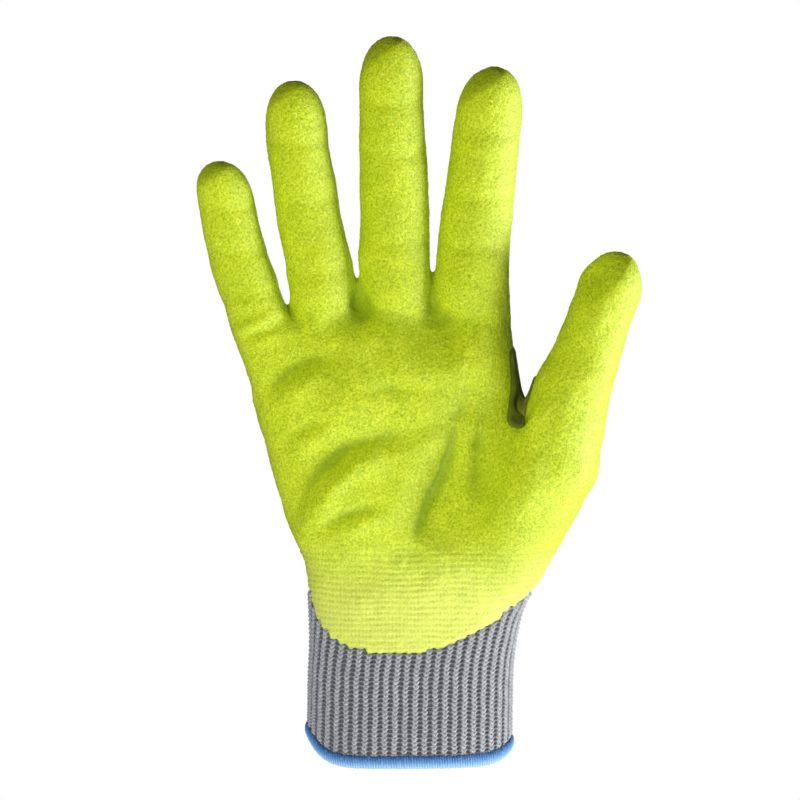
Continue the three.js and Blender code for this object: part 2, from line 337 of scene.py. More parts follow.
def taken_out(part):
    """Turns a bmesh into a mesh and frees it."""
    mesh = bpy.data.meshes.new("part")
    part.to_mesh(mesh)
    part.free()
    return mesh


def move_into(joined, part):
    """Adds one bmesh to another and frees it."""
    mesh = taken_out(part)
    joined.from_mesh(mesh)
    bpy.data.meshes.remove(mesh)


def merged_nodes(names):
    """Copies of CAD nodes in one bmesh, each moved outward to the skin, so that their gaps close."""
    joined = bmesh.new()
    for name in names:
        part = bmesh.new()
        part.from_mesh(frame["nodes"][name].data)
        bmesh.ops.remove_doubles(part, verts=part.verts, dist=1e-6)
        bmesh.ops.recalc_face_normals(part, faces=part.faces)
        part.normal_update()
        grow = node_depth(name) + CLOSE_GAPS
        for vert in part.verts:
            vert.co += vert.normal * grow
        move_into(joined, part)
    return joined


def add_plug(joined):
    """Closes the cuff well below its end, so that the skin's outside and inside come apart."""
    bottom = node_box("cuff_rib")[0][2]
    rim = [v.co.copy() for v in joined.verts if v.co.z < bottom + 0.5 * MM]
    plug = bmesh.new()
    for point in rim:
        for lift in (-PLUG_DEPTH, PLUG_OVERLAP):
            plug.verts.new((point.x, point.y, bottom + lift))
    bmesh.ops.convex_hull(plug, input=plug.verts)
    loose = [v for v in plug.verts if not v.link_faces]
    bmesh.ops.delete(plug, geom=loose, context="VERTS")
    move_into(joined, plug)


def connected(start, seen):
    """The vertices joined to start by edges; seen marks those already met."""
    island = [start]
    seen[start.index] = True
    for vert in island:
        for edge in vert.link_edges:
            other = edge.other_vert(vert)
            if not seen[other.index]:
                seen[other.index] = True
                island.append(other)
    return island


def outer_shell(mesh):
    """Keeps the connected part that reaches furthest up: the outside of the skin."""
    shell = bmesh.new()
    shell.from_mesh(mesh)
    shell.verts.ensure_lookup_table()
    seen = np.zeros(len(shell.verts), bool)
    islands = [connected(start, seen) for start in shell.verts if not seen[start.index]]
    best = max(islands, key=lambda island: max(v.co.z for v in island))
    keep = {v.index for v in best}
    drop = [v for v in shell.verts if v.index not in keep]
    bmesh.ops.delete(shell, geom=drop, context="VERTS")
    return taken_out(shell)


def rough_skin():
    """The skin as points and quads, before any smoothing."""
    left_out = ("hem_overlock", "hem_elastic", "cuff_elastic_yarn", "thumb_crotch_patch")
    joined = merged_nodes([name for name in frame["nodes"] if name not in left_out])
    add_plug(joined)
    shell = outer_shell(modified(taken_out(joined), "REMESH", mode="VOXEL", voxel_size=VOXEL))
    return mesh_points(shell), mesh_quads(shell)


def smoothed_skin(points, quads):
    """Takes the facets away; what smoothing shrinks is given back by smoothing the difference."""
    above = smoothstep(ROOT_Z - 30 * MM, ROOT_Z + 2 * MM, points[:, 2])
    on_thumb = in_thumb(points) * smoothstep(-28 * MM, 0, up_thumb(points))
    factor = 0.5 * (1 - (1 - FINGER_SMOOTHING) * np.maximum(above, on_thumb))
    averager = Averager(quads, len(points))
    soft = averager.smooth(points, factor, PALM_SMOOTHING)
    return soft + averager.smooth(points - soft, factor, PALM_SMOOTHING)


def subdivided(points, quads):
    """The same surface with each quad in four."""
    out = modified(mesh_from(points, quads, "coarse"), "SUBSURF", levels=1, render_levels=1)
    return mesh_points(out), mesh_quads(out)


# ---------------------------------------------------------------- webs between the fingers

FINGER_WEB_DROPS = (4.2 * MM, 2.0 * MM, 0.4 * MM)
THUMB_WEB_DROP = 2.6 * MM


def web_top(low, high, points):
    """The height of the skin between two neighbouring fingers, and each point's distance from there in x."""
    middle = (finger_line(low, points[:, 2])[0] + finger_line(high, points[:, 2])[0]) / 2
    beside = np.abs(points[:, 0] - middle)
    between = (beside < 1.0 * MM) & (points[:, 2] < ROOT_Z + 15 * MM)
    return points[between, 2].max(), beside


def web_heights(points):
    """For each finger, the height of the highest web beside it once the webs have been lowered."""
    drops = zip(FINGERS, FINGERS[1:], FINGER_WEB_DROPS)
    tops = [web_top(low, high, points)[0] - drop for low, high, drop in drops]
    return {name: max(tops[max(index - 1, 0):index + 1]) for index, name in enumerate(FINGERS)}


def lower(heights, top, drop, beside, width, below, above):
    """Lowers the heights near a web's top, less and less toward its sides and over the lengths given."""
    level = smoothstep(top - below, top - 1 * MM, heights)
    level *= 1 - smoothstep(top + 1 * MM, top + above, heights)
    heights -= drop * level * np.exp(-(beside / width) ** 2)


def lower_webs(points):
    """Deepens the gaps between the fingers and at the thumb, which smoothing has filled in."""
    heights = points[:, 2].copy()
    for low, high, drop in zip(FINGERS, FINGERS[1:], FINGER_WEB_DROPS):
        top, beside = web_top(low, high, points)
        lower(heights, top, drop, beside, width=2.0 * MM, below=14 * MM, above=12 * MM)
    beside = np.abs(points[:, 0] - CROTCH_X)
    top = heights[(beside < 1.5 * MM) & (heights < CROTCH_Z + 8 * MM)].max()
    lower(heights, top, THUMB_WEB_DROP, beside, width=3.0 * MM, below=12 * MM, above=9 * MM)
    return np.column_stack([points[:, :2], heights])


# ---------------------------------------------------------------- creases, pads and tips

# Each crease: its route in shares of the palm, its depth, its widths left and right of the route's
# direction, and the ridge beside it as a share of its depth (positive on the left, negative on the right).
PALM_CREASES = (
    ([(0.19, 0.17), (0.23, 0.25), (0.29, 0.345), (0.38, 0.42), (0.46, 0.45)], 3.3, 5.6, 3.4, -0.6),
    ([(0.40, 0.43), (0.50, 0.46), (0.60, 0.485), (0.74, 0.53)], 1.3, 5.0, 4.0, -0.5),
    ([(0.57, 0.10), (0.60, 0.18), (0.635, 0.27), (0.673, 0.345), (0.70, 0.435), (0.715, 0.52)],
     6.2, 5.6, 15.0, 0.0),
    ([(0.575, 0.10), (0.60, 0.18), (0.635, 0.27), (0.673, 0.345), (0.70, 0.435), (0.72, 0.54)],
     1.0, 1.3, 3.2, 0.4),
    ([(0.765, 0.28), (0.779, 0.434), (0.81, 0.56)], 1.5, 1.5, 4.5, 0.35),
    ([(0.10, 0.57), (0.144, 0.612), (0.19, 0.661), (0.25, 0.70), (0.33, 0.72)], 2.2, 4.4, 3.2, -0.5),
    ([(0.28, 0.15), (0.36, 0.20), (0.48, 0.24)], 1.4, 3.0, 2.4, -0.45),
    ([(0.16, 0.40), (0.22, 0.47), (0.32, 0.52)], 1.1, 3.0, 2.4, -0.4),
    ([(0.01, 0.81), (0.07, 0.84), (0.13, 0.87)], 1.1, 2.2, 1.6, -0.45),
    ([(0.03, 0.76), (0.10, 0.79), (0.18, 0.82)], 1.0, 2.2, 1.6, -0.45),
    ([(0.38, 0.60), (0.52, 0.615), (0.68, 0.60)], 0.8, 3.0, 2.4, -0.4),
    ([(0.26, 0.80), (0.44, 0.87), (0.60, 0.83), (0.88, 0.84)], 2.4, 6.0, 8.0, 0.0),
    ([(0.935, 0.60), (0.915, 0.55), (0.900, 0.49)], 4.4, 2.5, 2.3, 0.25),
    ([(0.91, 0.50), (0.97, 0.42), (1.04, 0.36)], 1.0, 4.5, 3.2, 0.0),
)
CREASE_ROUND = 0.6 * MM         # how far the bottom of a crease is rounded

# Soft mounds of the palm: centre in shares of the palm, half widths and height in millimetres.
PALM_MOUNDS = (
    ((0.87, 0.27), (13.0, 19.0), 2.6),
    ((0.33, 0.18), (15.0, 15.0), 1.5),
    ((0.33, 0.56), (16.0, 9.0), 1.2),
    ((0.64, 0.66), (20.0, 9.0), 1.6),
    ((0.80, 0.68), (10.0, 12.0), 0.8),
)

# Shares of a finger's length, from its root to its tip, at which its front creases.
FINGER_CREASES = {
    "little": (0.06, 0.36, 0.66),
    "ring": (0.02, 0.38, 0.67),
    "middle": (0.10, 0.48, 0.70),
    "index": (0.09, 0.34, 0.66),
}
FINGER_CREASE_DEPTH = 0.5 * MM
FINGER_CREASE_WIDTH = 2.6 * MM
FINGER_CREASE_BOW = 0.012 / MM  # how fast a crease climbs toward the finger's sides
FOLD_NOISE = ((13 * MM, 0.9 * MM), (5.5 * MM, 0.3 * MM))     # size and depth of the soft unevenness

# How a fingertip's front turns away: direction in x and z, where it starts inside the tip, over what
# length, and the share of the tip's depth that it takes.
FINGER_TURN = (-0.61, 0.79, 4.4 * MM, 8.5 * MM, 0.56)
THUMB_TURN = (-0.80, 0.60, 5.8 * MM, 9.0 * MM, 0.38)
THUMB_APEX_INSET = 7.6 * MM
THUMB_TURN_FADE = 16 * MM


def palm_place(share):
    """A point in x and z: shares of the palm's width, and of its height from the wrist to the fingers."""
    x = PALM_LOW[0] + share[0] * (PALM_HIGH[0] - PALM_LOW[0])
    z = WRIST_END + share[1] * (ROOT_Z - WRIST_END)
    return np.array([x, z])


def crease_profile(points, route, depth, left, right, ridge):
    """How far a crease pushes each point in, from its distance to the route in x and z."""
    place = points[:, [0, 2]]
    best = np.full(len(points), np.inf)
    side = np.zeros(len(points))
    along = np.zeros(len(points))
    gone = 0.0
    for low, high in zip(route, route[1:]):
        length = np.linalg.norm(high - low)
        way = (high - low) / length
        reach, gap = segment_reach(place, low, high)
        distance = np.linalg.norm(gap, axis=1)
        nearer = distance < best
        best = np.where(nearer, distance, best)
        side = np.where(nearer, way[0] * gap[:, 1] - way[1] * gap[:, 0], side)
        along = np.where(nearer, gone + reach, along)
        gone += length
    taper = np.sin(np.pi * np.clip(along / gone, 0.04, 0.96)) ** 0.6
    groove = np.exp(-(np.hypot(best, CREASE_ROUND) / np.where(side > 0, left, right)) ** 1.5)
    width = left if ridge > 0 else right
    offset = side - np.sign(ridge) * 1.9 * width
    bulge = np.exp(-(offset / (1.2 * width)) ** 2) * np.exp(-((best - np.abs(side)) / width) ** 2)
    return depth * taper * (groove - abs(ridge) * bulge)


def finger_crease_push(points):
    """How deep the fingers' cross creases are at each point."""
    x, _, z = points.T
    finger = nearest_finger(points)
    push = np.zeros(len(points))
    for index, name in enumerate(FINGERS):
        root = node_box(f"{name}_root_fold")[0][2]
        mine = (finger == index) & (z > root - 4 * MM)
        beside = x - finger_line(name, z)[0]
        for share in FINGER_CREASES[name]:
            height = root + share * (tip_top(name)[2] - root)
            above = z - (height + FINGER_CREASE_BOW * beside ** 2)
            near = np.exp(-(above / FINGER_CREASE_WIDTH) ** 2)
            push += np.where(mine, FINGER_CREASE_DEPTH * near, 0)
    return push


def sculpt(points, quads):
    """Presses in the creases of a worn-in palm and lifts the pads between them."""
    x, _, z = points.T
    normals = point_normals(points, quads)
    facing = smoothstep(0.05, 0.5, -normals[:, 1])
    push = finger_crease_push(points)
    for shares, depth, left, right, ridge in PALM_CREASES:
        route = [palm_place(share) for share in shares]
        push += crease_profile(points, route, depth * MM, left * MM, right * MM, ridge)
    for share, (wide, tall), height in PALM_MOUNDS:
        middle = palm_place(share)
        spread = ((x - middle[0]) / (wide * MM)) ** 2 + ((z - middle[1]) / (tall * MM)) ** 2
        push -= height * MM * np.exp(-spread)
    push *= facing * smoothstep(WRIST_END - 4 * MM, WRIST_END + 12 * MM, z)
    above_cuff = smoothstep(WRIST_START, WRIST_END, z)
    calm = 1 - 0.6 * smoothstep(ROOT_Z - 5 * MM, ROOT_Z + 15 * MM, z)
    for size, depth in FOLD_NOISE:
        push += depth * noise_at(points, size) * above_cuff * calm
    return points - normals * push[:, None]


def turned_tip(points, apex_x, box_top, turn):
    """The y of each point once the little-finger side of a tip's front is pressed back."""
    across_way, up_way, offset, length, squeeze = turn
    _, back, top = box_top
    lean = across_way * (points[:, 0] - apex_x) + up_way * (points[:, 2] - top) + offset
    return back - (back - points[:, 1]) * (1 - squeeze * smoothstep(0, length, lean))


def turned_tips(points):
    """Turns the little-finger side of every tip's front away, as on a hand at rest."""
    finger = nearest_finger(points)
    thumb = in_thumb(points)
    depth = points[:, 1].copy()
    for index, name in enumerate(FINGERS):
        box_top = tip_top(name)
        apex_x = finger_line(name, box_top[2:])[0][0]
        mine = (finger == index) & ~thumb & (points[:, 2] > ROOT_Z)
        depth = np.where(mine, turned_tip(points, apex_x, box_top, FINGER_TURN), depth)
    box_top = tip_top("thumb")
    bent = turned_tip(points, box_top[0] - THUMB_APEX_INSET, box_top, THUMB_TURN)
    above = smoothstep(THUMB_FOLD_HALF, THUMB_FOLD_HALF + THUMB_TURN_FADE, up_thumb(points))
    depth += (bent - depth) * thumb * above
    return np.column_stack([points[:, 0], depth, points[:, 2]])


# ---------------------------------------------------------------- the cuff's shape and the coating's edge

CUFF_LIFT = (9 * MM, 4.8 * MM)  # how far the cuff's lower end curves up at its left and right sides
CUFF_LIFT_TOP = 34 * MM
CUFF_MIDDLE_X = 1.0 * MM
RAYS = 360
RAY_START = 120 * MM
RING_STEP = 1.5 * MM
EDGE_FLOOR = COATING_BOTTOM + 0.6 * MM
EDGE_RIB_HEIGHT = COATING_BOTTOM + 4 * MM       # where the ribs' places along the edge are read
EDGE_LEFT = (-8 * MM, 26.5 * MM, 21 * MM, 2.4)     # start, reach, rise, roundness
EDGE_RIGHT = (2 * MM, 39.5 * MM, 18.5 * MM, 1.6)
HAND_SIDE = node_box("palm_coating")[1][1] + 1 * MM
THUMB_SIDE = 3 * MM
WRAP_LENGTH = 12 * MM


def cuff_lift(x, height):
    """How far the cuff is drawn up at this x, fading out above the hem."""
    low, high = node_box("cuff_rib")
    share = (x - (low[0] + high[0]) / 2) / ((high[0] - low[0]) / 2)
    lift = np.where(share < 0, CUFF_LIFT[0], CUFF_LIFT[1]) * np.clip(np.abs(share), 0, 1) ** 8
    return lift * (1 - smoothstep(0, CUFF_LIFT_TOP, height))


class RibLayout:
    """Where the ribs run round the cuff: evenly spaced along its girth, from the back's middle."""

    def __init__(self, tree):
        self.rows = np.arange(RIB_BOTTOM, RIB_TOP + RIB_ROW / 2, RIB_ROW)
        self.columns = RIB_COUNT * RIB_COLUMNS
        coarse = np.arange(RIB_BOTTOM, RIB_TOP + RING_STEP + 0.1 * MM, RING_STEP)
        rings = np.array([self.ring(tree, height) for height in coarse])
        self.surface = np.empty((len(self.rows), self.columns, 3))
        for axis in range(3):
            for column in range(self.columns):
                self.surface[:, column, axis] = np.interp(self.rows, coarse, rings[:, column, axis])
        self.surface[:, :, 2] = self.rows[:, None] + cuff_lift(self.surface[:, :, 0], self.rows[:, None])
        row = int((EDGE_RIB_HEIGHT - RIB_BOTTOM) / RIB_ROW)
        middles = self.surface[row, RIB_COLUMNS // 2::RIB_COLUMNS]
        self.front_x = np.sort(middles[middles[:, 1] < 0, 0])

    def ring(self, tree, height):
        """Points evenly spaced along the skin's girth at one height."""
        centre = Vector((CUFF_MIDDLE_X, 0, height))
        hits = []
        for angle in np.linspace(0, 2 * np.pi, RAYS, endpoint=False):
            way = Vector((-math.sin(angle), math.cos(angle), 0))
            hits.append(tree.ray_cast(centre + way * RAY_START, -way)[0])
        return even_loop(np.array(hits), self.columns)


def edge_height(x):
    """The coating's lower edge before it steps from rib to rib."""
    start, reach, rise, power = EDGE_LEFT
    left = np.clip((start - x) / reach, 0, 0.999)
    left_rise = rise * (1 - (1 - left ** power) ** (1 / power))
    start, reach, rise, power = EDGE_RIGHT
    right = np.clip((x - start) / reach, 0, 1.6)
    return EDGE_FLOOR + left_rise + rise * right ** power


def waver(place, *waves):
    """A small unevenness: the sum of sine waves given as (height, length, shift)."""
    return sum(height * MM * np.sin(place / (length * MM) + shift) for height, length, shift in waves)


def stepped_edge(x, ribs):
    """The coating's lower edge, one course up or down at a rib."""
    level = np.round(edge_height(ribs.front_x) / COURSE) * COURSE
    place = np.interp(x, ribs.front_x, np.arange(len(ribs.front_x)))
    low = np.clip(np.floor(place).astype(int), 0, len(level) - 2)
    share = smoothstep(0.30, 0.70, place - low)
    stepped = level[low] * (1 - share) + level[low + 1] * share
    outside = (x < ribs.front_x[0]) | (x > ribs.front_x[-1])
    fray = waver(x, (0.16, 0.53, 0), (0.10, 0.31, 2))
    return np.where(outside, edge_height(x), stepped) + fray


def side_line(points):
    """How far back (in y) the coating reaches round the hand at each point."""
    z = points[:, 2]
    finger = nearest_finger(points)
    centre_y = np.zeros(len(points))
    for index, name in enumerate(FINGERS):
        centre_y = np.where(finger == index, finger_line(name, z)[1], centre_y)
    line = HAND_SIDE + centre_y * smoothstep(ROOT_Z - 8 * MM, ROOT_Z + 6 * MM, z)
    share = smoothstep(WEB_START, WEB_END, past_web(points)) * in_thumb(points)
    line = line * (1 - share) + (thumb_line(z)[1] + THUMB_SIDE) * share
    return line + waver(z, (0.5, 5.2, 0), (0.3, 1.9, 1))


def tip_wrap(points):
    """Positive over the last of each finger and the thumb, where the coating goes all round."""
    finger = nearest_finger(points)
    wrap = np.full(len(points), -1.0)
    for index, name in enumerate(FINGERS):
        wrap = np.where(finger == index, points[:, 2] - (tip_top(name)[2] - WRAP_LENGTH), wrap)
    thumb_apex = np.array([node_centre("thumb_tip_coating")[0], 0, tip_top("thumb")[2]])
    thumb_wrap = up_thumb(points) - (up_thumb(thumb_apex) - WRAP_LENGTH)
    wrap = np.where(in_thumb(points), thumb_wrap, wrap)
    return wrap + waver(points[:, 0], (0.5, 1.7, 0), (0.3, 0.9, 0))


def coating_field(points, ribs):
    """Distance inside the coating's edge, negative outside it."""
    front = np.minimum(side_line(points) - points[:, 1], points[:, 2] - stepped_edge(points[:, 0], ribs))
    return np.maximum(front, tip_wrap(points))


PATCH_CORNER = 4 * MM
# The strip's middle line in x and z, in millimetres from the left and the top of the patch's box.
PATCH_STRIP = ((4.4, -2.0), (4.7, -14.0), (3.3, -23.5))
PATCH_STRIP_HALF = 3.1 * MM


def patch_field(points):
    """Distance inside the thumb crotch patch's edge, negative outside it.

    The patch is a round-cornered box over the crotch, and a strip down the index side of the palm."""
    middle, half = (PATCH_LOW + PATCH_HIGH) / 2, (PATCH_HIGH - PATCH_LOW) / 2 - PATCH_CORNER
    beyond = np.abs(points - middle) - half
    outside = np.linalg.norm(np.maximum(beyond, 0), axis=1)
    box = PATCH_CORNER - outside - np.minimum(beyond.max(axis=1), 0)
    line = np.array(PATCH_STRIP) * MM + (PATCH_LOW[0], PATCH_HIGH[2])
    gaps = [segment_reach(points[:, [0, 2]], low, high)[1] for low, high in zip(line, line[1:])]
    nearest = np.min([np.linalg.norm(gap, axis=1) for gap in gaps], axis=0)
    strip = np.where(points[:, 1] < PATCH_HIGH[1], PATCH_STRIP_HALF - nearest, -1 * MM)
    beside_thumb = points[:, 1] - thumb_line(points[:, 2])[1] - 3 * MM
    past = smoothstep(1 * MM, 4 * MM, points[:, 0] - CROTCH_X)
    box = np.minimum(box, beside_thumb + (1 - past) * 20 * MM)
    return np.maximum(box, strip)


# ---------------------------------------------------------------- zones: which bodies a face follows

PARTS = ("root_fold", "proximal", "knuckle_fold", "middle", "tip_fold", "tip")
ZONES = ["cuff", "wrist", "palm", "thumb_web", "thumb_base", "thumb_joint", "thumb_tip"]
ZONES += [f"{finger}_{part}" for finger in FINGERS for part in PARTS]


def finger_folds(name, web_height):
    """The bottom and top of each of a finger's folds; the lowest one starts at the web beside it."""
    bands = {}
    for fold in ("root_fold", "knuckle_fold", "tip_fold"):
        low, high = node_box(f"{name}_{fold}")
        bands[fold] = (low[2], high[2])
    bands["root_fold"] = (max(bands["root_fold"][0], web_height), bands["root_fold"][1])
    return bands


def zone_of(points, webs):
    """Index into ZONES for each point."""
    z = points[:, 2]
    zone = np.full(len(points), ZONES.index("palm"))
    finger = nearest_finger(points)
    for index, name in enumerate(FINGERS):
        edges = np.concatenate(list(finger_folds(name, webs[name]).values()))
        step = np.searchsorted(edges, z)
        first = ZONES.index(f"{name}_root_fold")
        zone = np.where((finger == index) & (step > 0), first + step - 1, zone)
    along = up_thumb(points)
    thumb_zone = np.where(past_web(points) < WEB_END, ZONES.index("thumb_web"), ZONES.index("thumb_base"))
    thumb_zone = np.where(along > -THUMB_FOLD_HALF, ZONES.index("thumb_joint"), thumb_zone)
    thumb_zone = np.where(along > THUMB_FOLD_HALF, ZONES.index("thumb_tip"), thumb_zone)
    zone = np.where(in_thumb(points), thumb_zone, zone)
    zone = np.where(z < WRIST_END, ZONES.index("wrist"), zone)
    return np.where(z < WRIST_START, ZONES.index("cuff"), zone)


def zone_quads(points, quads, inside, webs, least=1):
    """The name of every zone with at least so many of the inside quads, and those quads."""
    zones = zone_of(centroids(points, quads), webs)
    for index, name in enumerate(ZONES):
        kept = quads[(zones == index) & inside]
        if len(kept) >= least:
            yield name, kept


def follow(piece, zone, webs):
    """Rides a piece of one zone on the zone's body, or, for a zone that lies between bodies, bakes its place
    into its mesh.
    """
    if zone in ("cuff", "palm", "thumb_base", "thumb_tip"):
        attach(piece, zone)
    elif zone == "wrist":
        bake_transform(piece)
    elif zone == "thumb_web":
        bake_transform(piece)
    elif zone == "thumb_joint":
        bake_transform(piece)
    else:
        finger, part = zone.split("_", 1)
        bands = finger_folds(finger, webs[finger])
        if part in bands:
            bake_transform(piece)
        else:
            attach(piece, zone)


def zone_nodes(zone, layer):
    """The CAD node that a layer's piece of this zone stands for."""
    if zone == "wrist":
        return f"wrist_{layer}_fold"
    if zone in ("thumb_web", "thumb_joint"):
        return f"{zone}_fold"
    return zone if zone.endswith("fold") else f"{zone}_{layer}"


# ---------------------------------------------------------------- shells cut from the skin

PULL_STEP = 0.05 * MM
PULL_LIMIT = 0.3 * MM
LEAST_STEEPNESS = 0.3


def skin_layer(points, quads, outside, inside):
    """The skin moved out along its normals to two surfaces, and the normals of the outer one."""
    normals = point_normals(points, quads)
    outer = points + normals * outside
    return outer, points + normals * inside, point_normals(outer, quads)


def shell_piece(name, layer, quads, numbers, material):
    """A closed shell between a layer's two surfaces over some of the skin's quads.

    numbers holds one value per skin point under each name."""
    outer, inner, outer_normals = layer
    used, local = np.unique(quads, return_inverse=True)
    local = local.reshape(-1, 4)
    count = len(used)
    rim = border_sides(local, count)
    rim_quads = np.column_stack([rim[:, 1], rim[:, 0], rim[:, 0] + count, rim[:, 1] + count])
    points = np.vstack([outer[used], inner[used]])
    mesh = mesh_from(points, np.vstack([local, local[:, ::-1] + count, rim_quads]), name)
    normals = np.vstack([outer_normals[used], -outer_normals[used]])
    mesh.normals_split_custom_set_from_vertices(normals)
    both = {key: np.tile(values[used], 2) for key, values in numbers.items()}
    return piece_object(name, mesh, points, both, material)


def pull_to_edge(points, quads, inside, field):
    """Moves the points on the border of the inside quads onto the field's zero line."""
    points = points.copy()
    border = np.unique(border_sides(quads[inside], len(points)))
    normals = point_normals(points, quads)[border]
    for _ in range(3):
        place = points[border]
        value = field(place)
        slope = np.empty_like(place)
        for axis in range(3):
            shifted = place.copy()
            shifted[:, axis] += PULL_STEP
            slope[:, axis] = (field(shifted) - value) / PULL_STEP
        slope -= normals * np.sum(slope * normals, axis=1, keepdims=True)
        steep = np.maximum(np.sum(slope ** 2, axis=1), LEAST_STEEPNESS)
        move = -slope * (value / steep)[:, None]
        length = np.linalg.norm(move, axis=1, keepdims=True)
        points[border] = place + move * np.minimum(1, PULL_LIMIT / np.maximum(length, 1e-12))
    return points


# ---------------------------------------------------------------- materials

# Painted shade in the gaps between the knit's stitches.
STITCH_SHADE = (0.085, 0.090, 0.105)
COATING_STITCH = 1.25           # millimetres from stitch to stitch where the coating shows the knit
WALE_WIDTH = 1.35
JERSEY_COURSE = 1.05


class Nodes:
    """A small helper for building a material's node tree; lengths are in millimetres."""

    def __init__(self, name):
        self.material = bpy.data.materials.new(name)
        self.material.use_nodes = True
        self.tree = self.material.node_tree
        self.shader = self.tree.nodes["Principled BSDF"]
        self.rest = self.attribute("rest", "Vector")

    def attribute(self, name, output="Fac"):
        node = self.tree.nodes.new("ShaderNodeAttribute")
        node.attribute_name = name
        return node.outputs[output]

    def link(self, value, socket):
        if isinstance(value, (int, float, tuple)):
            socket.default_value = value
        else:
            self.tree.links.new(value, socket)

    def math(self, operation, first, second=0.0, clamp=False):
        node = self.tree.nodes.new("ShaderNodeMath")
        node.operation = operation
        node.use_clamp = clamp
        self.link(first, node.inputs[0])
        self.link(second, node.inputs[1])
        return node.outputs[0]

    def plus(self, first, second):
        return self.math("ADD", first, second)

    def times(self, first, second):
        return self.math("MULTIPLY", first, second)

    def from_middle(self, value):
        """How far a repeating value is from the middle of its step, 0 to 0.5."""
        return self.math("ABSOLUTE", self.math("SUBTRACT", self.math("FRACT", value), 0.5))

    def noise(self, size, detail=2.0, rough=0.5, stretch=None):
        """Noise with features of about this size."""
        node = self.tree.nodes.new("ShaderNodeTexNoise")
        node.inputs["Scale"].default_value = 1.0 / size
        node.inputs["Detail"].default_value = detail
        node.inputs["Roughness"].default_value = rough
        place = self.rest
        if stretch is not None:
            mapping = self.tree.nodes.new("ShaderNodeMapping")
            mapping.inputs["Scale"].default_value = stretch
            self.link(place, mapping.inputs["Vector"])
            place = mapping.outputs["Vector"]
        self.link(place, node.inputs["Vector"])
        return node.outputs["Fac"]

    def ramp(self, value, *stops):
        node = self.tree.nodes.new("ShaderNodeValToRGB")
        elements = node.color_ramp.elements
        elements[0].position, elements[0].color = stops[0][0], (*stops[0][1], 1)
        elements[1].position, elements[1].color = stops[-1][0], (*stops[-1][1], 1)
        for position, colour in stops[1:-1]:
            elements.new(position).color = (*colour, 1)
        self.link(value, node.inputs["Fac"])
        return node.outputs["Color"]

    def span(self, value, low, high, to_low=0.0, to_high=1.0):
        node = self.tree.nodes.new("ShaderNodeMapRange")
        node.interpolation_type = "SMOOTHSTEP"
        for socket, number in zip(node.inputs[1:5], (low, high, to_low, to_high)):
            socket.default_value = number
        self.link(value, node.inputs[0])
        return node.outputs[0]

    def mix(self, share, first, second, blend="MIX"):
        node = self.tree.nodes.new("ShaderNodeMix")
        node.data_type = "RGBA"
        node.blend_type = blend
        for name, value in (("Factor", share), ("A", first), ("B", second)):
            if isinstance(value, tuple):
                value = (*value, 1)
            self.link(value, node.inputs[name])
        return node.outputs["Result"]

    def tint(self, colour, share, strength, other):
        """The colour with some of the other mixed in: the strength times the share at each point."""
        return self.mix(self.times(share, strength), colour, other)

    def rest_axes(self):
        node = self.tree.nodes.new("ShaderNodeSeparateXYZ")
        self.link(self.rest, node.inputs[0])
        return node.outputs

    def finish(self, colour, rough, height, depth, strength, sheen=0.0, specular=0.5):
        """Ends the material with its colour, roughness, and a bump of this depth in millimetres."""
        bump = self.tree.nodes.new("ShaderNodeBump")
        bump.inputs["Distance"].default_value = depth * MM
        bump.inputs["Strength"].default_value = strength
        self.link(height, bump.inputs["Height"])
        self.link(bump.outputs["Normal"], self.shader.inputs["Normal"])
        self.link(colour, self.shader.inputs["Base Color"])
        self.link(rough, self.shader.inputs["Roughness"])
        self.shader.inputs["Specular IOR Level"].default_value = specular
        if sheen:
            self.shader.inputs["Sheen Weight"].default_value = sheen
            self.shader.inputs["Sheen Roughness"].default_value = 0.5
        return self.material


def coating_material():
    """Sandy nitrile: a flocked matt skin, mottled at a millimetre, over the courses near the wrist. Painted
    shade darkens its creases, its hollows and the courses; toward the wrist it is paler, partly for a thinner
    dip and partly as a painted highlight.
    """
    n = Nodes("sandy_nitrile")
    grain = n.noise(0.80, 3.0, 0.62)
    speck = n.noise(0.38, 2.0, 0.6)
    cloud = n.noise(9.0, 3.0, 0.55)
    colour = n.ramp(
        n.plus(n.times(grain, 0.62), n.times(speck, 0.38)),
        (0.30, (0.200, 0.322, 0.002)),
        (0.44, (0.425, 0.576, 0.005)),
        (0.54, (0.605, 0.722, 0.011)),
        (0.70, (0.850, 0.890, 0.080)),
    )
    shade = n.ramp(cloud, (0.32, (0.88, 0.90, 0.80)), (0.62, (1.0, 1.0, 1.0)))
    colour = n.mix(1.0, colour, shade, "MULTIPLY")
    # Painted shade: the creases and hollows are drawn darker olive, by how far the skin lies below its
    # smoothed surface.
    crease = n.span(n.attribute("hollow_shade"), 0.08, 1.15)
    colour = n.tint(colour, crease, 0.70, (0.23, 0.345, 0.005))
    colour = n.tint(colour, n.attribute("thin"), 0.30, (0.84, 0.87, 0.20))
    # Paler and yellower toward the wrist: partly a thinner dip over the knit, partly a painted highlight of
    # the brightly lit lower palm.
    colour = n.tint(colour, n.attribute("pale"), 0.48, (0.87, 0.90, 0.24))
    place = n.plus(n.rest_axes()[0], n.times(n.noise(2.5), 1.2))
    stitch = n.math("SINE", n.times(place, 2 * math.pi / COATING_STITCH))
    courses = n.times(n.attribute("courses"), n.span(stitch, -0.7, 0.7, 0.30, 1.0))
    # Painted shade along the sunken course lines.
    colour = n.tint(colour, courses, 0.52, (0.30, 0.42, 0.010))
    rough = n.span(speck, 0.3, 0.7, 0.72, 0.56)
    height = n.plus(n.times(grain, 0.75), n.times(speck, 0.45))
    return n.finish(colour, rough, height, 0.38, 0.85, specular=0.9)


